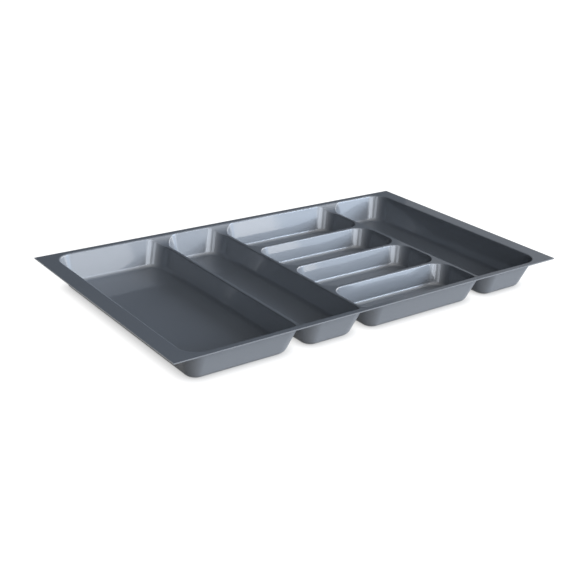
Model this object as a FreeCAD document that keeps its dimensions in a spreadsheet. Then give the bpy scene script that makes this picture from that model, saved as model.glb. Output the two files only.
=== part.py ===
import FreeCAD, Part
import Sketcher
import math
import os
import re

# Cutlery tray for a wide drawer: one formed sheet with seven wells, built as its named zones.
# Millimetres. Origin under the middle of the tray, +X along it, +Y to its rear, +Z up.

# Driving sizes. A divider's distance is its middle, from the edge that its name ends in.
lengths = {
    "tray_length": 832.0,
    "tray_depth": 472.0,
    "rim_height": 53.0,
    "sheet_thickness": 2.0,
    "margin_left": 31.5,
    "margin_right": 32.0,
    "margin_front": 11.0,
    "margin_rear": 11.0,
    "ab_from_left": 250.0,
    "bc_from_left": 382.0,
    "cd_from_right": 174.0,
    "cross_from_front": 125.0,
    "cross_from_rear": 125.0,
    "divider_drop": 13.0,
    "ridge_width": 7.0,
    "sweep_run": 26.0,
    "corner_radius": 32.0,
    "floor_radius": 9.0,
}
angles = {"draft_angle": 17.0}

# Derived sizes, as formulas of the driving ones. Places are from the left front corner of the tray.
# wall_run is the sheet measured level across a drafted wall, foot_run reaches from a lip to the flat floor.
# A well's sides are where its walls would meet the rim plane, also beside a divider that stops lower.
derived = {
    "wall_slope": "tan(draft_angle)",
    "wall_run": "sheet_thickness / cos(draft_angle)",
    "well_depth": "rim_height - sheet_thickness",
    "foot_run": "well_depth * wall_slope + floor_radius * tan(45 - draft_angle / 2)",
    "ridge_half": "ridge_width / 2 - divider_drop * wall_slope",
    "ridge_height": "rim_height - divider_drop",
    "sweep_radius": "(sweep_run * sweep_run + divider_drop * divider_drop) / (2 * divider_drop)",
    "divider_ab": "ab_from_left",
    "divider_bc": "bc_from_left",
    "divider_cd": "tray_length - cd_from_right",
    "cross_front": "cross_from_front",
    "cross_rear": "tray_depth - cross_from_rear",
    "cross_mid": "(cross_front + cross_rear) / 2",
    "sweep_low": "divider_ab - 2 * corner_radius",
    "sweep_high": "divider_cd + 2 * corner_radius",
    "a_left": "margin_left",
    "a_right": "divider_ab - ridge_half",
    "b_left": "divider_ab + ridge_half",
    "b_right": "divider_bc - ridge_half",
    "c_left": "divider_bc + ridge_half",
    "c_right": "divider_cd - ridge_half",
    "d_left": "divider_cd + ridge_half",
    "d_right": "tray_length - margin_right",
    "front_lip": "margin_front",
    "rear_lip": "tray_depth - margin_rear",
    "front_stop": "cross_front - ridge_half",
    "midfront_start": "cross_front + ridge_half",
    "midfront_stop": "cross_mid - ridge_half",
    "midrear_start": "cross_mid + ridge_half",
    "midrear_stop": "cross_rear - ridge_half",
    "rear_start": "cross_rear + ridge_half",
}

# Wells: left, right, front and rear side.
wells = {
    "a": ("a_left", "a_right", "front_lip", "rear_lip"),
    "b": ("b_left", "b_right", "front_lip", "rear_lip"),
    "c_front": ("c_left", "c_right", "front_lip", "front_stop"),
    "c_midfront": ("c_left", "c_right", "midfront_start", "midfront_stop"),
    "c_midrear": ("c_left", "c_right", "midrear_start", "midrear_stop"),
    "c_rear": ("c_left", "c_right", "rear_start", "rear_lip"),
    "d": ("d_left", "d_right", "front_lip", "rear_lip"),
}

doc = FreeCAD.newDocument("cutlery_tray")
table = doc.addObject("Spreadsheet::Sheet", "sizes")
words = re.compile("[a-z_]+")


def full(formula):
    """The formula with every size read from the table."""
    known = set(lengths) | set(angles) | set(derived)
    return words.sub(lambda m: "sizes." + m[0] if m[0] in known else m[0], formula)


def fill_table():
    rows = [(name, "%g" % value) for name, value in list(lengths.items()) + list(angles.items())]
    rows += [(name, "=" + formula) for name, formula in derived.items()]
    for row, (name, text) in enumerate(rows, start=1):
        table.set("A%d" % row, name)
        table.set("B%d" % row, text)
        table.setAlias("B%d" % row, name)
    doc.recompute()


def size(name):
    return float(table.get(name))


def bind(thing, **formulas):
    for prop, formula in formulas.items():
        thing.setExpression(prop.replace("__", "."), full(formula))


def plane(body, axes):
    return next(f for f in body.Origin.OriginFeatures if f.Name.startswith(axes))


def sketch_on(body, axes, name, **offsets):
    sketch = body.newObject("Sketcher::SketchObject", name)
    sketch.AttachmentSupport = [(plane(body, axes), "")]
    sketch.MapMode = "FlatFace"
    for axis, formula in offsets.items():
        bind(sketch, **{"AttachmentOffset__Base__" + axis: formula})
    return sketch


def measure(sketch, kind, name, formula, *where):
    """A driving dimension of the sketch, bound to the table."""
    index = sketch.addConstraint(Sketcher.Constraint(kind, *where))
    sketch.renameConstraint(index, name)
    sketch.setExpression("Constraints." + name, full(formula))


# How a sketch names its origin, and numbers the two ends of a line or arc.
ORIGIN = (-1, 1)
START, END = range(1, 3)


def point(x, y):
    return FreeCAD.Vector(x, y, 0)


def rounded_rectangle(sketch, sides, grow, radius_formula):
    """Four lines and four arcs, its sides taken from the table and moved out by grow."""
    out = size(grow) if grow else 0.0
    left, right, front, rear = (size(s) for s in sides)
    left, right, front, rear = left - out, right + out, front - out, rear + out
    r = size("corner_radius") + out
    quarter = math.pi / 2
    corners = [(right - r, front + r, -quarter), (right - r, rear - r, 0.0),
               (left + r, rear - r, quarter), (left + r, front + r, math.pi)]
    straights = [((left + r, front), (right - r, front)), ((right, front + r), (right, rear - r)),
                 ((right - r, rear), (left + r, rear)), ((left, rear - r), (left, front + r))]
    lines, arcs = [], []
    for (a, b), (cx, cy, turn) in zip(straights, corners):
        lines.append(sketch.addGeometry(Part.LineSegment(point(*a), point(*b))))
        circle = Part.Circle(point(cx, cy), FreeCAD.Vector(0, 0, 1), r)
        arcs.append(sketch.addGeometry(Part.ArcOfCircle(circle, turn, turn + quarter)))
    for i, line in enumerate(lines):
        following = lines[(i + 1) % len(lines)]
        sketch.addConstraint(Sketcher.Constraint("Tangent", line, END, arcs[i], START))
        sketch.addConstraint(Sketcher.Constraint("Tangent", arcs[i], END, following, START))
        sketch.addConstraint(Sketcher.Constraint("Vertical" if i % 2 else "Horizontal", line))
    for arc in arcs[1:]:
        sketch.addConstraint(Sketcher.Constraint("Equal", arcs[0], arc))
    more = " + " + grow if grow else ""
    less = " - " + grow if grow else ""
    measure(sketch, "Radius", "corner", radius_formula, arcs[0], r)
    measure(sketch, "DistanceY", "front_side", sides[2] + less, *ORIGIN, lines[0], START, front)
    measure(sketch, "DistanceX", "right_side", sides[1] + more, *ORIGIN, lines[1], START, right)
    measure(sketch, "DistanceY", "rear_side", sides[3] + more, *ORIGIN, lines[2], START, rear)
    measure(sketch, "DistanceX", "left_side", sides[0] + less, *ORIGIN, lines[3], START, left)


def drafted_well(name, sides, grow, height, radius, foot):
    """A solid the shape of a well: wide at the rim plane, drawn in downwards, rounded at the foot."""
    body = doc.addObject("PartDesign::Body", name)
    sketch = sketch_on(body, "XY_Plane", name + "_mouth",
                       x="-tray_length / 2", y="-tray_depth / 2", z="rim_height")
    rounded_rectangle(sketch, sides, grow, radius)
    pad = body.newObject("PartDesign::Pad", name + "_drawn")
    pad.Profile = sketch
    pad.Reversed = True
    bind(pad, Length=height, TaperAngle="-draft_angle")
    sketch.Visibility = False
    doc.recompute()
    low = pad.Shape.BoundBox.ZMin
    near = size("sheet_thickness") / size("tray_length")
    ring = ["Edge%d" % i for i, e in enumerate(pad.Shape.Edges, start=1) if e.BoundBox.ZMax - low < near]
    fillet = body.newObject("PartDesign::Fillet", name + "_foot")
    fillet.Base = (pad, ring)
    bind(fillet, Radius=foot)
    body.Tip = fillet
    doc.recompute()
    return body


def sweep_body(name, under):
    """The space above the lowered dividers: level along them, swept up to the rim at both ends.

    It lies lower by the size named in under, with its bends that much larger.
    """
    body = doc.addObject("PartDesign::Body", name)
    sketch = sketch_on(body, "YZ_Plane", name + "_profile",
                       x="-tray_depth / 2", z="sweep_low - tray_length / 2")
    drop = size(under) if under else 0.0
    low, high = size("ridge_height") - drop, size("rim_height") - drop
    r = size("sweep_radius") + drop
    near, far = size("front_lip") + size("sweep_run"), size("rear_lip") - size("sweep_run")
    lean = math.acos((low + r - high) / r)
    reach = r * math.sin(lean)
    down = -math.pi / 2
    up = FreeCAD.Vector(0, 0, 1)
    rear_bend = Part.Circle(point(far, low + r), up, r)
    front_bend = Part.Circle(point(near, low + r), up, r)
    bottom = sketch.addGeometry(Part.LineSegment(point(near, low), point(far, low)))
    rear = sketch.addGeometry(Part.ArcOfCircle(rear_bend, down, down + lean))
    lid = sketch.addGeometry(Part.LineSegment(point(far + reach, high), point(near - reach, high)))
    front = sketch.addGeometry(Part.ArcOfCircle(front_bend, down - lean, down))
    for first, second in ((bottom, rear), (front, bottom)):
        sketch.addConstraint(Sketcher.Constraint("Tangent", first, END, second, START))
    for first, second in ((rear, lid), (lid, front)):
        sketch.addConstraint(Sketcher.Constraint("Coincident", first, END, second, START))
    sketch.addConstraint(Sketcher.Constraint("Horizontal", bottom))
    sketch.addConstraint(Sketcher.Constraint("Horizontal", lid))
    sketch.addConstraint(Sketcher.Constraint("Equal", front, rear))
    more = " + " + under if under else ""
    less = " - " + under if under else ""
    measure(sketch, "Radius", "sweep", "sweep_radius" + more, front, r)
    measure(sketch, "DistanceY", "level", "ridge_height" + less, *ORIGIN, bottom, START, low)
    measure(sketch, "DistanceY", "top", "rim_height" + less, *ORIGIN, lid, START, high)
    measure(sketch, "DistanceX", "near", "front_lip + sweep_run", *ORIGIN, bottom, START, near)
    measure(sketch, "DistanceX", "far", "rear_lip - sweep_run", *ORIGIN, bottom, END, far)
    pad = body.newObject("PartDesign::Pad", name + "_run")
    pad.Profile = sketch
    bind(pad, Length="sweep_high - sweep_low")
    sketch.Visibility = False
    body.Tip = pad
    doc.recompute()
    return body


def block(name, x_span, y_span, z_span):
    """A box between two formulas along each axis, X and Y taken from the left front corner."""
    box = doc.addObject("Part::Box", name)
    (x0, x1), (y0, y1), (z0, z1) = x_span, y_span, z_span
    bind(box, Length="(%s) - (%s)" % (x1, x0))
    bind(box, Width="(%s) - (%s)" % (y1, y0))
    bind(box, Height="(%s) - (%s)" % (z1, z0))
    bind(box, Placement__Base__x="(%s) - tray_length / 2" % x0)
    bind(box, Placement__Base__y="(%s) - tray_depth / 2" % y0)
    bind(box, Placement__Base__z=z0)
    return box


def joined(kind, name, **parts):
    thing = doc.addObject("Part::" + kind, name)
    for prop, value in parts.items():
        setattr(thing, prop, value)
    doc.recompute()
    return thing


fill_table()

# The whole sheet: everything under its upper face that is also above its lower face.
upper = [drafted_well("well_" + n, s, "", "well_depth", "corner_radius", "floor_radius")
         for n, s in wells.items()]
lower = [drafted_well("tub_" + n, s, "wall_run", "rim_height", "corner_radius + wall_run",
                      "floor_radius + sheet_thickness") for n, s in wells.items()]
upper.append(sweep_body("sweep_upper", ""))
lower.append(sweep_body("sweep_lower", "sheet_thickness"))
whole = ("0", "tray_length"), ("0", "tray_depth")
full_height = ("0", "rim_height")
flange_height = ("rim_height - sheet_thickness", "rim_height")
blank = block("blank", *whole, full_height)
plate = block("plate", *whole, flange_height)
hollow = joined("MultiFuse", "hollow", Shapes=upper)
upper_form = joined("Cut", "upper_form", Base=blank, Tool=hollow)
lower_form = joined("MultiFuse", "lower_form", Shapes=[plate] + lower)
sheet = joined("Common", "sheet", Base=upper_form, Tool=lower_form)

# Zone limits: inner edges of the flange, and the lines where the flat floors begin.
flange_x = ("a_left - wall_run", "d_right + wall_run")
flange_y = ("front_lip - wall_run", "rear_lip + wall_run")
foot_x = {n: (n + "_left + foot_run", n + "_right - foot_run") for n in "abcd"}
foot_y = ("front_lip + foot_run", "rear_lip - foot_run")
rows = ["c_front", "c_midfront", "c_midrear", "c_rear"]
row_y = {n: (wells[n][2] + " + foot_run", wells[n][3] + " - foot_run") for n in rows}

# Flange strips, plain plates.
flanges = {
    "flange_left": (("0", flange_x[0]), whole[1]),
    "flange_right": ((flange_x[1], "tray_length"), whole[1]),
    "flange_front": (flange_x, ("0", flange_y[0])),
    "flange_rear": (flange_x, (flange_y[1], "tray_depth")),
}
nodes = [block(n, *spans, flange_height) for n, spans in flanges.items()]

# Zones cut from the sheet: walls, dividers and floors.
zones = {
    "wall_left": ((flange_x[0], foot_x["a"][0]), flange_y),
    "wall_right": ((foot_x["d"][1], flange_x[1]), flange_y),
    "wall_front": ((foot_x["a"][0], foot_x["d"][1]), (flange_y[0], foot_y[0])),
    "wall_rear": ((foot_x["a"][0], foot_x["d"][1]), (foot_y[1], flange_y[1])),
    "floor_a": (foot_x["a"], foot_y),
    "floor_b": (foot_x["b"], foot_y),
    "floor_d": (foot_x["d"], foot_y),
}
for first, second in ("ab", "bc", "cd"):
    zones["divider_" + first + second] = ((foot_x[first][1], foot_x[second][0]), foot_y)
for name in rows:
    zones["floor_" + name] = (foot_x["c"], row_y[name])
for name, first, second in zip(("front", "mid", "rear"), rows, rows[1:]):
    zones["divider_cross_" + name] = (foot_x["c"], (row_y[first][1], row_y[second][0]))
for name, spans in zones.items():
    zone = block("zone_" + name, *spans, full_height)
    nodes.append(joined("Common", name, Base=sheet, Tool=zone))

doc.recompute()

# Checks before writing: every object is sound, every zone is one solid, and together they are the sheet.
for thing in doc.Objects:
    if "Invalid" in thing.State or "Error" in thing.State:
        raise RuntimeError("%s: %s" % (thing.Label, thing.State))
for node in nodes:
    shape = node.Shape
    if shape.isNull() or not shape.isValid() or len(shape.Solids) != 1:
        raise RuntimeError("%s is not one sound solid: %d" % (node.Label, len(shape.Solids)))
total = sum(node.Shape.Volume for node in nodes)
missing_share = abs(total - sheet.Shape.Volume) / sheet.Shape.Volume
allowed_share = 1e-4
if missing_share > allowed_share:
    raise RuntimeError("zones do not add up to the sheet: %g" % missing_share)

os.makedirs("parts", exist_ok=True)
for node in nodes:
    node.Shape.Solids[0].exportStep("parts/%s.step" % node.Label)
box = sheet.Shape.BoundBox
extents = (box.XLength, box.YLength, box.ZLength)
print("%d nodes, %.1f x %.1f x %.1f mm, %.0f mm3" % (len(nodes), *extents, total))
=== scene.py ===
import math

import bmesh
import bpy
import numpy as np
from mathutils import Matrix, Vector


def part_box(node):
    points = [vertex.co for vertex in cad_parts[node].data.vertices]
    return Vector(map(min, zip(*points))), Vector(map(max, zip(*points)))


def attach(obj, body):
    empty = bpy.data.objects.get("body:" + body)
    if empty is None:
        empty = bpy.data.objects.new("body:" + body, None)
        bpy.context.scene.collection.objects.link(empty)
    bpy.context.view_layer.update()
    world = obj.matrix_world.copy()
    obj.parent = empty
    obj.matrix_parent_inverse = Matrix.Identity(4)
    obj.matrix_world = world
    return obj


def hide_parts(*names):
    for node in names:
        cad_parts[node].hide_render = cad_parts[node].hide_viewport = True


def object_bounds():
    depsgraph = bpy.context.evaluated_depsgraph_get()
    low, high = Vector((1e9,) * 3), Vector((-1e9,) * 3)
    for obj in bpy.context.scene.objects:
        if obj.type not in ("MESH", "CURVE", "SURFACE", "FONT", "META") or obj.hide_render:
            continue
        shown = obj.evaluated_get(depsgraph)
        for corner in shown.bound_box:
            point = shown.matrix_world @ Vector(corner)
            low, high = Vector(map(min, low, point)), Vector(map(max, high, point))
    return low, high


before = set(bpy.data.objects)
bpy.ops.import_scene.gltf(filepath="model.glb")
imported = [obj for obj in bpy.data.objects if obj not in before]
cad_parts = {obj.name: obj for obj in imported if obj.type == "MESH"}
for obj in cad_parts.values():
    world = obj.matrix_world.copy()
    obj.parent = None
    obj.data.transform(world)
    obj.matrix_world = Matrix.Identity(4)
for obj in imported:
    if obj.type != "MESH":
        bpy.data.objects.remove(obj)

# Looks of a cutlery tray: one formed sheet of glossy plastic, with rolled lips and swept dividers.
# Metres. +X along the tray, +Y to its rear, +Z up.

cad_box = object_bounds()
MM = 0.001

# Sizes of the sheet's form.
DRAFT = math.radians(17.0)
CORNER_RADIUS = 32 * MM
FOOT_RADIUS = 9 * MM
SWEEP_RUN = 26 * MM
RIM_LIP_RADIUS = 4 * MM
DIVIDER_LIP_RADIUS = 2.6 * MM
FLOOR_MARGIN = 1 * MM

# How finely the form is meshed.
CORNER_STEPS = 20
LIP_STEPS = 8
FOOT_STEPS = 8
HALF_CORNER = CORNER_STEPS // 2
LONGEST_STEP = 70 * MM
MERGE_DISTANCE = 0.01 * MM
PLACE_DIGITS = 2
HALVINGS = 40

# Keeps a division clear of zero.
TINY = 1e-9

# Sizes and places that the frame holds.
SHORT_WELLS = ["c_front", "c_midfront", "c_midrear", "c_rear"]
WELL_NAMES = ["a", "b"] + SHORT_WELLS + ["d"]
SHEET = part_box("flange_left")[1].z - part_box("flange_left")[0].z
RIM = cad_box[1].z
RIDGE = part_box("divider_cross_mid")[1].z
FLOOR = cad_box[0].z + SHEET
WALL_RUN = SHEET / math.cos(DRAFT)
LEFT_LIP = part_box("flange_left")[1].x + WALL_RUN
FRONT_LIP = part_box("flange_front")[1].y + WALL_RUN
REAR_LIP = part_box("flange_rear")[0].y - WALL_RUN
FOOT_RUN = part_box("floor_a")[0].x - LEFT_LIP


def well_sides(name):
    """Left, right, front and rear side of a well, where its walls would meet the rim plane."""
    low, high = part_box("floor_" + name)
    return low.x - FOOT_RUN, high.x + FOOT_RUN, low.y - FOOT_RUN, high.y + FOOT_RUN


WELLS = {name: well_sides(name) for name in WELL_NAMES}
DIVIDER_SHIFT = (RIM - RIDGE) * math.tan(DRAFT)
OVERLAP = (WELLS["a"][1] - WELLS["b"][0]) / 2
HALF_RIDGE = DIVIDER_SHIFT - OVERLAP
DIVIDERS = [WELLS[name][1] - OVERLAP for name in ("a", "b", "c_front")]
CROSS_DIVIDERS = [WELLS[name][3] - OVERLAP for name in SHORT_WELLS[:-1]]
SWEEP_RADIUS = (SWEEP_RUN ** 2 + (RIM - RIDGE) ** 2) / (2 * (RIM - RIDGE))

# The sides of a well in the order in which they are gone round, and the corner that ends each of them.
SIDE_ORDER = ["front", "right", "rear", "left"]
TURNS = len(SIDE_ORDER)
FRONT_RIGHT, REAR_RIGHT, REAR_LEFT, FRONT_LEFT = range(TURNS)

# The zone of the frame that each side of a well belongs to.
ZONES = {
    "a": ["wall_front", "divider_ab", "wall_rear", "wall_left"],
    "b": ["wall_front", "divider_bc", "wall_rear", "divider_ab"],
    "c_front": ["wall_front", "divider_cd", "divider_cross_front", "divider_bc"],
    "c_midfront": ["divider_cross_front", "divider_cd", "divider_cross_mid", "divider_bc"],
    "c_midrear": ["divider_cross_mid", "divider_cd", "divider_cross_rear", "divider_bc"],
    "c_rear": ["divider_cross_rear", "divider_cd", "wall_rear", "divider_bc"],
    "d": ["wall_front", "wall_right", "wall_rear", "divider_cd"],
}
NODES = sorted(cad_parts)


# The form of the upper face. An air function gives, for every point, how far it is into the air,
# and the direction in which that grows.

def stacked(x, y, z):
    return np.stack([x, y, z], axis=1)


def straight_up(points):
    return np.tile([0.0, 0.0, 1.0], (len(points), 1))


def well_air(points, sides):
    """The air in one well: drafted walls and a rounded foot.

    Corners narrow downwards on the left. On the right they keep the radius that they have just
    under the rim plane, on the line where neighbouring wells would meet.
    """
    x, y, z = points.T
    left, right, front, rear = sides
    from_x, from_y = x - (left + right) / 2, y - (front + rear) / 2
    drawn_in = (RIM - z) * math.tan(DRAFT)
    sliding = (from_x > 0) & (drawn_in > OVERLAP)
    slid = np.where(sliding, drawn_in - OVERLAP, 0.0)
    past_x = np.abs(from_x) - ((right - left) / 2 - CORNER_RADIUS - slid)
    past_y = np.abs(from_y) - ((rear - front) / 2 - CORNER_RADIUS - slid)
    in_corner = (past_x > 0) & (past_y > 0)
    reach = np.maximum(np.hypot(past_x, past_y), TINY)
    out_x = np.where(in_corner, past_x / reach, past_x >= past_y)
    out_y = np.where(in_corner, past_y / reach, past_x < past_y)
    past = np.where(in_corner, reach, np.maximum(past_x, past_y))
    inward = CORNER_RADIUS + slid - drawn_in - past
    lean = np.arctan(np.where(sliding, out_x + out_y, 1.0) * math.tan(DRAFT))
    level = -np.cos(lean)
    way = stacked(out_x * np.sign(from_x) * level, out_y * np.sign(from_y) * level, np.sin(lean))
    above_floor = z - FLOOR, straight_up(points)
    return rolled((inward * np.cos(lean), way), above_floor, FOOT_RADIUS, inside=True)


def dish_air(points, left, right, front, rear):
    """The air over lowered dividers: a flat bottom whose edges sweep up to the rim."""
    x, y, z = points.T
    past_x, past_y = x - np.clip(x, left, right), y - np.clip(y, front, rear)
    off = stacked(past_x, past_y, z - (RIDGE + SWEEP_RADIUS))
    away = np.linalg.norm(off, axis=1)
    return SWEEP_RADIUS - away, -off / away[:, None]


def either(first, second):
    """The air of two spaces together, with a sharp edge between them."""
    more = first[0] > second[0]
    return np.where(more, first[0], second[0]), np.where(more[:, None], first[1], second[1])


def rolled(first, second, radius, inside=False):
    """The air of two spaces together, with the edge between them rolled to a radius.

    With inside it is only the air that both share, and the inner edge is filled to the radius.
    """
    sign = -1 if inside else 1
    (depth_1, way_1), (depth_2, way_2) = first, second
    more = sign * depth_1 > sign * depth_2
    depth, way = np.where(more, depth_1, depth_2), np.where(more[:, None], way_1, way_2)
    lean = np.clip((way_1 * way_2).sum(axis=1), -1.0, 1.0 - TINY)
    reach_1, reach_2 = radius + sign * depth_1, radius + sign * depth_2
    share_1 = (reach_1 - lean * reach_2) / (1 - lean ** 2)
    share_2 = (reach_2 - lean * reach_1) / (1 - lean ** 2)
    turning = (share_1 > 0) & (share_2 > 0)
    away = np.sqrt(np.maximum(share_1 * reach_1 + share_2 * reach_2, TINY ** 2))
    turned = (share_1[:, None] * way_1 + share_2[:, None] * way_2) / away[:, None]
    return np.where(turning, sign * (away - radius), depth), np.where(turning[:, None], turned, way)


def air(points):
    """The air above the whole sheet."""
    front, rear = FRONT_LIP + SWEEP_RUN, REAR_LIP - SWEEP_RUN
    low = dish_air(points, DIVIDERS[1], DIVIDERS[2], CROSS_DIVIDERS[0], CROSS_DIVIDERS[2])
    for divider in DIVIDERS:
        strip = dish_air(points, divider - CORNER_RADIUS, divider + CORNER_RADIUS, front, rear)
        low = either(low, strip)
    wells = well_air(points, WELLS["a"])
    for sides in list(WELLS.values())[1:]:
        wells = either(wells, well_air(points, sides))
    above_rim = points[:, 2] - RIM, straight_up(points)
    return rolled(rolled(wells, low, DIVIDER_LIP_RADIUS), above_rim, RIM_LIP_RADIUS)


def settled(plan):
    """The points of the upper face over the given places, and the way up from each."""
    low, high = np.full(len(plan), cad_box[0].z), np.full(len(plan), RIM + SHEET)
    for _ in range(HALVINGS):
        middle = (low + high) / 2
        above = air(np.column_stack([plan, middle]))[0] > 0
        low, high = np.where(above, low, middle), np.where(above, middle, high)
    points = np.column_stack([plan, (low + high) / 2])
    return points, air(points)[1]


# The layout of the mesh, seen from above: spokes across the walls of each well, and rings along them.
# Long sides have a spoke wherever the straight side of a short well begins or ends.

ROW_ENDS = [front + CORNER_RADIUS for _, _, front, _ in WELLS.values()]
ROW_ENDS += [rear - CORNER_RADIUS for _, _, _, rear in WELLS.values()]


def stations(start, stop, marks=()):
    """Places along a straight side, with every mark that lies on it."""
    ends = sorted({start, stop} | {m for m in marks if start + MM < m < stop - MM})
    places = [start]
    for low, high in zip(ends, ends[1:]):
        count = math.ceil((high - low) / LONGEST_STEP)
        places += [low + (high - low) * k / count for k in range(1, count + 1)]
    return places


# The way in which the middles of the right-hand corners slide inwards.
CORNER_SLIDES = {FRONT_RIGHT: (-1, 1), REAR_RIGHT: (-1, -1)}


class Spokes:
    """Lines that run inwards across the walls of a well, all the way round it."""

    def __init__(self, name):
        left, right, front, rear = WELLS[name]
        r = CORNER_RADIUS
        across = stations(left + r, right - r)
        along = stations(front + r, rear - r, ROW_ENDS)
        straights = [
            [((x, front), (0, 1)) for x in across],
            [((right, y), (-1, 0)) for y in along],
            [((x, rear), (0, -1)) for x in reversed(across)],
            [((left, y), (1, 0)) for y in reversed(along)],
        ]
        centres = [(right - r, front + r), (right - r, rear - r),
                   (left + r, rear - r), (left + r, front + r)]
        lines, self.zones, self.side_spokes, self.corner_spokes = [], [], [], []
        for turn, (straight, (x, y)) in enumerate(zip(straights, centres)):
            first = len(lines)
            lines += straight
            self.side_spokes.append(list(range(first, len(lines))))
            for step in range(1, CORNER_STEPS):
                angle = (turn - 1 + step / CORNER_STEPS) * math.pi / 2
                out = math.cos(angle), math.sin(angle)
                lines.append(((x + r * out[0], y + r * out[1]), (-out[0], -out[1])))
            self.corner_spokes.append(list(range(len(lines) - CORNER_STEPS, len(lines) + 1)))
            here, following = ZONES[name][turn], ZONES[name][(turn + 1) % TURNS]
            self.zones += [here] * (len(straight) - 1 + HALF_CORNER)
            self.zones += [following] * HALF_CORNER
        self.corner_spokes[-1][-1] = 0
        self.starts = np.array([line[0] for line in lines], float)
        self.inward = np.array([line[1] for line in lines], float)
        self.slide = np.zeros_like(self.inward)
        for turn, slide in CORNER_SLIDES.items():
            spokes = self.corner_spokes[turn]
            self.slide[spokes] = slide - self.inward[spokes]
        self.rings = self.ring_places()

    def places(self, inset):
        """Plan places on every spoke at its inset from the rim's lip."""
        slid = np.maximum(inset - OVERLAP, 0.0)
        return self.starts + self.inward * inset[:, None] + self.slide * slid[:, None]

    def shifts(self):
        """How far in from the rim's lip each spoke crosses the local lip, lower beside dividers."""
        low, high = np.zeros(len(self.starts)), np.full(len(self.starts), DIVIDER_SHIFT)
        for _ in range(HALVINGS):
            middle = (low + high) / 2
            wall = RIM - middle / math.tan(DRAFT)
            above = wall > top_height(self.places(middle))
            low, high = np.where(above, middle, low), np.where(above, high, middle)
        return (low + high) / 2

    def ring_places(self):
        """Plan places of every ring, from the land outside the lip to the flat floor."""
        shift = self.shifts()
        lowered_share = shift / DIVIDER_SHIFT
        radius = RIM_LIP_RADIUS + (DIVIDER_LIP_RADIUS - RIM_LIP_RADIUS) * lowered_share
        turn = math.pi / 2 - DRAFT
        insets = [shift - HALF_RIDGE]
        for step in range(LIP_STEPS + 1):
            insets.append(shift + radius * (math.sin(turn * step / LIP_STEPS) - math.tan(turn / 2)))
        foot = []
        for step in range(FOOT_STEPS + 1):
            foot.append(FOOT_RUN - FOOT_RADIUS * math.cos(DRAFT + turn * step / FOOT_STEPS))
        insets.append((insets[-1] + foot[0]) / 2)
        insets += [np.full_like(shift, inset) for inset in foot + [FOOT_RUN + FLOOR_MARGIN]]
        return [self.places(inset) for inset in insets]


def top_height(plan):
    """Height of the land round the wells: the rim, or a lowered divider with its swept ends."""
    x, y = plan.T
    past = np.full(len(plan), np.inf)
    front, rear = FRONT_LIP + SWEEP_RUN, REAR_LIP - SWEEP_RUN
    spans = [(d - CORNER_RADIUS, d + CORNER_RADIUS, front, rear) for d in DIVIDERS]
    spans.append((DIVIDERS[1], DIVIDERS[2], CROSS_DIVIDERS[0], CROSS_DIVIDERS[2]))
    for x0, x1, y0, y1 in spans:
        past = np.minimum(past, np.hypot(x - np.clip(x, x0, x1), y - np.clip(y, y0, y1)))
    past = np.minimum(past, SWEEP_RUN)
    return RIDGE + SWEEP_RADIUS - np.sqrt(SWEEP_RADIUS ** 2 - past ** 2)


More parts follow.
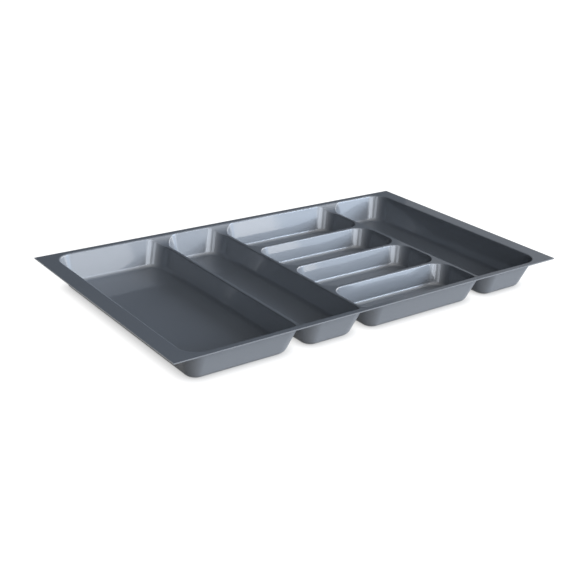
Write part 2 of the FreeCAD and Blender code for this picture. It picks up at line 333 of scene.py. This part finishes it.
class Skin:
    """The upper face of the sheet as one mesh, each face marked with its zone."""

    def __init__(self):
        self.bm = bmesh.new()
        self.zone = self.bm.faces.layers.int.new("zone")
        self.spokes = {name: Spokes(name) for name in WELLS}
        for name in WELLS:
            self.add_walls(name)
        bmesh.ops.remove_doubles(self.bm, verts=self.bm.verts, dist=MERGE_DISTANCE)
        self.index()
        for name in WELLS:
            self.add_face(self.spokes[name].rings[-1], "floor_" + name)
        self.add_land()
        self.add_flange()
        self.raise_to_form()

    def index(self):
        """Notes the vertex at each place, so that later faces join on to it."""
        self.at = {self.key(v.co): v for v in self.bm.verts}

    @staticmethod
    def key(place):
        # Adding zero turns a minus zero into a plain one.
        return tuple(round(along / MM, PLACE_DIGITS) + 0.0 for along in place[:2])

    def add_walls(self, name):
        """The band round a well, a grid with a row for each ring and a column for each spoke."""
        spokes = self.spokes[name]
        count, rings = len(spokes.starts), len(spokes.rings)
        grid = bmesh.ops.create_grid(self.bm, x_segments=count, y_segments=rings - 1, size=1)
        for place, vert in enumerate(grid["verts"]):
            ring, spoke = divmod(place, count + 1)
            x, y = spokes.rings[ring][spoke % count]
            vert.co = x, y, 0
        faces = list(self.bm.faces)[-count * (rings - 1):]
        for place, face in enumerate(faces):
            ring, spoke = divmod(place, count)
            zone = "floor_" + name if ring == rings - 2 else spokes.zones[spoke]
            face[self.zone] = NODES.index(zone)

    def add_face(self, places, zone):
        """One face round the given places, on the vertices that are already there."""
        verts = []
        for place in places:
            vert = self.at.get(self.key(place)) or self.bm.verts.new((place[0], place[1], 0))
            self.at[self.key(place)] = vert
            if vert not in verts:
                verts.append(vert)
        self.bm.faces.new(verts)[self.zone] = NODES.index(zone)

    def corner(self, name, turn, backwards=False):
        """Outermost places round one corner of a well."""
        places = [self.spokes[name].rings[0][k] for k in self.spokes[name].corner_spokes[turn]]
        return places[::-1] if backwards else places

    def add_land(self):
        """The land between two rounded corners, in rows that close up towards the divider."""
        lands = []
        for left, right in (("a", "b"), ("b", "c_front"), ("c_front", "d")):
            first, second = self.corner(left, FRONT_RIGHT), self.corner(right, FRONT_LEFT, True)
            lands.append((first, second, "wall_front"))
        for left, right in (("a", "b"), ("b", "c_rear"), ("c_rear", "d")):
            first, second = self.corner(left, REAR_RIGHT, True), self.corner(right, REAR_LEFT)
            lands.append((first, second, "wall_rear"))
        for front, rear in zip(SHORT_WELLS, SHORT_WELLS[1:]):
            first, second = self.corner(front, REAR_LEFT, True), self.corner(rear, FRONT_LEFT)
            lands.append((first, second, "divider_bc"))
            first, second = self.corner(front, REAR_RIGHT), self.corner(rear, FRONT_RIGHT, True)
            lands.append((first, second, "divider_cd"))
        for first, second, zone in lands:
            for k in range(CORNER_STEPS):
                self.add_face([first[k], second[k], second[k + 1], first[k + 1]], zone)

    def add_flange(self):
        """The flat margin, mitred at the corners of the tray."""
        corners = [(cad_box[i].x, cad_box[j].y) for i, j in ((0, 0), (1, 0), (1, 1), (0, 1))]
        rows = [["a", "b", "c_front", "d"], ["d"], ["d", "c_rear", "b", "a"], ["a"]]
        for turn, row in enumerate(rows):
            chain = self.corner(row[0], (turn - 1) % TURNS)[HALF_CORNER:-1]
            for name in row:
                spokes = self.spokes[name]
                chain += [spokes.rings[0][k] for k in spokes.side_spokes[turn]]
            chain += self.corner(row[-1], turn)[1:HALF_CORNER + 1]
            chain += [corners[(turn + 1) % TURNS], corners[turn]]
            self.add_face(chain, "flange_" + SIDE_ORDER[turn])

    def raise_to_form(self):
        """Lifts the flat layout on to the form, and notes the way up at each vertex."""
        up = self.bm.verts.layers.float_vector.new("up")
        verts = list(self.bm.verts)
        points, ways = settled(np.array([v.co[:2] for v in verts]))
        for vert, point, way in zip(verts, points, ways):
            vert.co = point
            vert[up] = Vector(way).normalized()
        self.bm.normal_update()
        for face in self.bm.faces:
            if face.normal.z < 0:
                face.normal_flip()

    def piece(self, node):
        """One zone of the sheet at its full thickness, as a closed mesh."""
        bm = self.bm.copy()
        zone, up = bm.faces.layers.int["zone"], bm.verts.layers.float_vector["up"]
        others = [f for f in bm.faces if f[zone] != NODES.index(node)]
        bmesh.ops.delete(bm, geom=others, context="FACES")
        side = bm.faces.layers.int.new("underside")
        edge = bm.faces.layers.int.new("cut_edge")
        upper = list(bm.faces)
        made = bmesh.ops.extrude_face_region(bm, geom=upper, use_keep_orig=True)["geom"]
        under = {f for f in made if isinstance(f, bmesh.types.BMFace)}
        for vert in (v for v in made if isinstance(v, bmesh.types.BMVert)):
            vert.co -= vert[up] * SHEET
        flat = under.union(upper)
        for face in bm.faces:
            face[side] = face in under
            face[edge] = face not in flat
        bmesh.ops.recalc_face_normals(bm, faces=bm.faces)
        mesh = bpy.data.meshes.new(node)
        bm.to_mesh(mesh)
        bm.free()
        return mesh


def smooth_like_the_form(mesh):
    """Shades the faces by the form itself, so that no line shows where two zones meet."""
    ups = np.array([item.vector for item in mesh.attributes["up"].data])
    unders = [item.value for item in mesh.attributes["underside"].data]
    edges = [item.value for item in mesh.attributes["cut_edge"].data]
    normals = []
    for face in mesh.polygons:
        for corner in face.loop_indices:
            up = ups[mesh.loops[corner].vertex_index]
            normals.append(face.normal if edges[face.index] else -up if unders[face.index] else up)
    mesh.polygons.foreach_set("use_smooth", [True] * len(mesh.polygons))
    mesh.normals_split_custom_set([tuple(n) for n in normals])
    mesh.attributes.remove(mesh.attributes["up"])
    mesh.attributes.remove(mesh.attributes["zone"])


# Finishes.

class Value:
    """A shader socket that can be used in sums: each operator adds its Math node."""

    def __init__(self, finish, socket):
        self.finish, self.socket = finish, socket

    def combine(self, operation, first, second):
        return self.finish.make("ShaderNodeMath", {"operation": operation}, {0: first, 1: second})

    def __add__(self, other):
        return self.combine("ADD", self, other)

    def __mul__(self, other):
        return self.combine("MULTIPLY", self, other)

    def __sub__(self, other):
        return self.combine("SUBTRACT", self, other)

    def __rsub__(self, other):
        return self.combine("SUBTRACT", other, self)

    def __pow__(self, other):
        return self.combine("POWER", self, other)

    __radd__ = __add__
    __rmul__ = __mul__


class Finish:
    """The nodes of a material or a world."""

    def __init__(self, owner):
        owner.use_nodes = True
        self.tree = owner.node_tree
        self.tree.nodes.clear()

    def make(self, kind, settings=None, sockets=None, output=0):
        """Adds a node with its settings and the values or links of its sockets."""
        node = self.tree.nodes.new(kind)
        for name, value in (settings or {}).items():
            setattr(node, name, value)
        for name, value in (sockets or {}).items():
            if isinstance(value, Value):
                self.tree.links.new(value.socket, node.inputs[name])
            else:
                node.inputs[name].default_value = value
        return Value(self, node.outputs[output]) if node.outputs else None


# How a Mix node numbers its colour sockets.
COLOUR_A, COLOUR_B, COLOUR_OUT = 6, 7, 2

# The sheet's finish. Pattern scales are per metre, and a roughness has its least value and its spread.
INSIDE_DARK = (0.147, 0.166, 0.195, 1)
INSIDE_LIGHT = (0.165, 0.184, 0.213, 1)
# The outside of the tubs is the same sheet as the inside, painted lighter: painted light on the outer
# walls.
OUTSIDE_COLOUR_PAINTED_LIGHTER = (0.308, 0.319, 0.337, 1)
CLOUD_SCALE, CLOUD_DETAIL = 9.0, 2.0
SWELL_SCALE, SWELL_DETAIL = 16.0, 1.0
PEEL_SCALE, PEEL_DETAIL = 900.0, 2.0
SWELL_STRENGTH, SWELL_HEIGHT = 0.25, 1.2 * MM
PEEL_STRENGTH, PEEL_HEIGHT = 0.06, 0.1 * MM
SATIN_ROUGHNESS, SATIN_SPREAD = 0.38, 0.08
MIRROR_ROUGHNESS, MIRROR_SPREAD = 0.02, 0.03
OUTSIDE_ROUGHNESS, OUTSIDE_SPREAD = 0.4, 0.1
SATIN_IOR = 2.1
PLASTIC_IOR = 1.5
INSIDE_SHEEN = 1.0
OUTSIDE_SHEEN = 0.15
MIRROR_SHARE = 0.52


def glossy_sheet():
    """Blue-grey plastic sheet: glossy and faintly uneven inside, matt on the outside of the tubs. The
    outside is the same sheet, painted lighter than the inside: painted light on the outer walls.
    """
    material = bpy.data.materials.new("glossy_sheet")
    finish = Finish(material)
    place = finish.make("ShaderNodeTexCoord", output="Object")
    under = finish.make("ShaderNodeAttribute", {"attribute_name": "underside"}, output="Fac")
    cloud = finish.make("ShaderNodeTexNoise", {}, {
        "Vector": place, "Scale": CLOUD_SCALE, "Detail": CLOUD_DETAIL}, "Fac")
    swell = finish.make("ShaderNodeTexNoise", {}, {
        "Vector": place, "Scale": SWELL_SCALE, "Detail": SWELL_DETAIL}, "Fac")
    peel = finish.make("ShaderNodeTexNoise", {}, {
        "Vector": place, "Scale": PEEL_SCALE, "Detail": PEEL_DETAIL}, "Fac")
    inside = finish.make("ShaderNodeMix", {"data_type": "RGBA"}, {
        "Factor": cloud, COLOUR_A: INSIDE_DARK, COLOUR_B: INSIDE_LIGHT}, COLOUR_OUT)
    wave = finish.make("ShaderNodeBump", {}, {
        "Strength": SWELL_STRENGTH, "Distance": SWELL_HEIGHT, "Height": swell})
    grain = finish.make("ShaderNodeBump", {}, {
        "Strength": PEEL_STRENGTH, "Distance": PEEL_HEIGHT, "Height": peel, "Normal": wave})
    satin = finish.make("ShaderNodeBsdfPrincipled", {}, {
        "Base Color": inside, "Roughness": SATIN_ROUGHNESS + cloud * SATIN_SPREAD,
        "IOR": SATIN_IOR, "Specular IOR Level": INSIDE_SHEEN, "Normal": grain})
    mirror = finish.make("ShaderNodeBsdfPrincipled", {}, {
        "Base Color": inside, "Roughness": MIRROR_ROUGHNESS + cloud * MIRROR_SPREAD,
        "IOR": PLASTIC_IOR, "Specular IOR Level": INSIDE_SHEEN, "Normal": grain})
    # The outside of the tubs, painted lighter than the inside as painted light.
    drawn = finish.make("ShaderNodeBsdfPrincipled", {}, {
        "Base Color": OUTSIDE_COLOUR_PAINTED_LIGHTER, "Roughness": OUTSIDE_ROUGHNESS + cloud * OUTSIDE_SPREAD,
        "IOR": PLASTIC_IOR, "Specular IOR Level": OUTSIDE_SHEEN, "Normal": grain})
    gloss = finish.make("ShaderNodeMixShader", {}, {0: MIRROR_SHARE, 1: satin, 2: mirror})
    sheet = finish.make("ShaderNodeMixShader", {}, {0: under, 1: gloss, 2: drawn})
    finish.make("ShaderNodeOutputMaterial", {}, {"Surface": sheet})
    return material


CONTACT_SHADOW_REACH = 18 * MM
CONTACT_SAMPLES = 8
PAINTED_SHADOW_GREY = (0.42, 0.42, 0.42, 1)
WHITE = (1, 1, 1, 1)
FLOOR_GREY = (0.22, 0.22, 0.22, 1)


def pale_floor():
    """A pale floor that shows white, has a soft contact shadow painted into its glow by ambient
    occlusion, and can be looked through from below.
    """
    material = bpy.data.materials.new("pale_floor")
    finish = Finish(material)
    shown = finish.make("ShaderNodeLightPath", output="Is Camera Ray")
    mirrored = finish.make("ShaderNodeLightPath", output="Is Glossy Ray")
    seen_through = finish.make("ShaderNodeLightPath", output="Is Transmission Ray")
    from_below = finish.make("ShaderNodeNewGeometry", output="Backfacing")
    # Painted shadow: the floor's white glow turns grey near the tray, by ambient occlusion.
    open_share = finish.make("ShaderNodeAmbientOcclusion", {"samples": CONTACT_SAMPLES}, {
        "Distance": CONTACT_SHADOW_REACH}, "AO")
    shade = finish.make("ShaderNodeMix", {"data_type": "RGBA"}, {
        "Factor": open_share, COLOUR_A: PAINTED_SHADOW_GREY, COLOUR_B: WHITE}, COLOUR_OUT)
    glow = finish.make("ShaderNodeEmission", {}, {
        "Color": shade, "Strength": shown + mirrored + seen_through})
    matt = finish.make("ShaderNodeBsdfDiffuse", {}, {"Color": FLOOR_GREY})
    both = finish.make("ShaderNodeAddShader", {}, {0: glow, 1: matt})
    clear = finish.make("ShaderNodeBsdfTransparent")
    floor = finish.make("ShaderNodeMixShader", {}, {0: from_below, 1: both, 2: clear})
    finish.make("ShaderNodeOutputMaterial", {}, {"Surface": floor})
    return material


# The sheet, zone by zone.

skin = Skin()
sheet_finish = glossy_sheet()
for node in NODES:
    mesh = skin.piece(node)
    smooth_like_the_form(mesh)
    mesh.materials.append(sheet_finish)
    piece = bpy.data.objects.new("skin_" + node, mesh)
    bpy.context.scene.collection.objects.link(piece)
    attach(piece, "root")
    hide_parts(node)
skin.bm.free()

# Stage: floor, lights and camera.

FLOOR_SPAN = 24.0
FLOOR_GAP = 0.2 * MM
floor_bm = bmesh.new()
bmesh.ops.create_grid(floor_bm, x_segments=1, y_segments=1, size=FLOOR_SPAN / 2)
floor_mesh = bpy.data.meshes.new("floor")
floor_bm.to_mesh(floor_mesh)
floor_bm.free()
floor_mesh.materials.append(pale_floor())
floor = bpy.data.objects.new("floor", floor_mesh)
floor.location.z = cad_box[0].z - FLOOR_GAP
bpy.context.scene.collection.objects.link(floor)

# Lights stand in a wide ring round the tray, except a strip close behind it.
LIGHT_DISTANCE = 8.0
LOW_STRIP_DISTANCE = 0.75
PLAIN_LIGHT = (1, 1, 1)
BLUE_SKY = (0.82, 1.0, 1.24)
PALE_SKY = (0.92, 1.0, 1.12)


def window_light(name, azimuth, width, low, high, radiance, colour, distance=LIGHT_DISTANCE):
    """An upright soft light that faces the tray, from a lowest to a highest angle.

    Angles are in degrees, and the azimuth goes from the front to the right.
    """
    span = 2 * distance * math.tan(math.radians(width / 2))
    bottom, top = (distance * math.tan(math.radians(angle)) for angle in (low, high))
    data = bpy.data.lights.new(name, "AREA")
    data.shape = "RECTANGLE"
    data.size, data.size_y = span, top - bottom
    data.energy, data.color = math.pi * span * (top - bottom) * radiance, colour
    lamp = bpy.data.objects.new(name, data)
    turn = math.radians(azimuth)
    lamp.location = distance * math.sin(turn), -distance * math.cos(turn), (bottom + top) / 2
    lamp.rotation_euler = math.pi / 2, 0, turn
    bpy.context.scene.collection.objects.link(lamp)


window_light("main_window", 51, 27, 12.5, 27.5, 8.3, BLUE_SKY)
window_light("main_window_sill", 48.5, 23, 0.3, 12, 1.9, BLUE_SKY)
window_light("window_gap", 29.5, 4, 0.3, 12, 0.3, BLUE_SKY)
window_light("left_pane", 23.3, 6, 0.3, 12, 2.2, PLAIN_LIGHT)
window_light("corner_pane", 3, 30, 10, 26, 3.8, PALE_SKY)
window_light("right_pane", 34.5, 5, 0.3, 12, 3.9, PLAIN_LIGHT)
window_light("upper_pane", 27, 18, 15, 31, 2.6, PALE_SKY)
window_light("front_strip", -34, 16, 22, 32, 2.6, PALE_SKY)
window_light("right_side", 85, 50, 0.3, 40, 3.2, PLAIN_LIGHT)
window_light("back_glow", 126, 16, 8, 26, 0.3, PLAIN_LIGHT)
# Stays below the flange, so that none of its light falls into the wells.
window_light("low_back_strip", 180, 90, 0.5, 3.6, 17.0, PALE_SKY, LOW_STRIP_DISTANCE)


def studio_air(glows):
    """Soft light from all round: broad glows, each with a direction, a sharpness and a strength."""
    world = bpy.data.worlds.new("studio")
    finish = Finish(world)
    direction = finish.make("ShaderNodeTexCoord", output="Generated")
    shown = finish.make("ShaderNodeLightPath", output="Is Camera Ray")
    strength = shown
    for towards, sharpness, level in glows:
        facing = finish.make("ShaderNodeVectorMath", {"operation": "DOT_PRODUCT"}, {
            0: direction, 1: Vector(towards).normalized()}, "Value")
        ahead = finish.make("ShaderNodeMath", {"operation": "MAXIMUM"}, {0: facing, 1: 0.0})
        strength = strength + (1 - shown) * ahead ** sharpness * level
    air_light = finish.make("ShaderNodeBackground", {}, {"Color": WHITE, "Strength": strength})
    finish.make("ShaderNodeOutputWorld", {}, {"Surface": air_light})
    bpy.context.scene.world = world


# One from high in front, and a small one from the left that shows in the rear ends of the dividers.
GLOWS = [
    ((0.2, -0.7, 0.7), 4, 1.25),
    ((-0.76, -0.66, 0.19), 16, 0.4),
]
studio_air(GLOWS)

# The camera at the photograph's viewing angle. Lens and sensor in millimetres.
CAMERA_PLACE = (-1.07612, -1.32593, 0.71171)
CAMERA_AZIMUTH = math.radians(38.1159)
CAMERA_ELEVATION = math.radians(22.7777)
CAMERA_ROLL = math.radians(3.1470)
CAMERA_LENS = 63.144
CAMERA_SENSOR = 36.0
CAMERA_FAR_LIMIT = 100.0
camera_data = bpy.data.cameras.new("camera")
camera_data.sensor_width = CAMERA_SENSOR
camera_data.lens = CAMERA_LENS
camera_data.clip_end = CAMERA_FAR_LIMIT
camera = bpy.data.objects.new("camera", camera_data)
aim = Matrix.Rotation(-CAMERA_AZIMUTH, 4, "Z")
aim @= Matrix.Rotation(math.pi / 2 - CAMERA_ELEVATION, 4, "X")
aim @= Matrix.Rotation(CAMERA_ROLL, 4, "Z")
camera.matrix_world = Matrix.Translation(CAMERA_PLACE) @ aim
bpy.context.scene.collection.objects.link(camera)
bpy.context.scene.camera = camera
bpy.context.scene.view_settings.view_transform = "Standard"
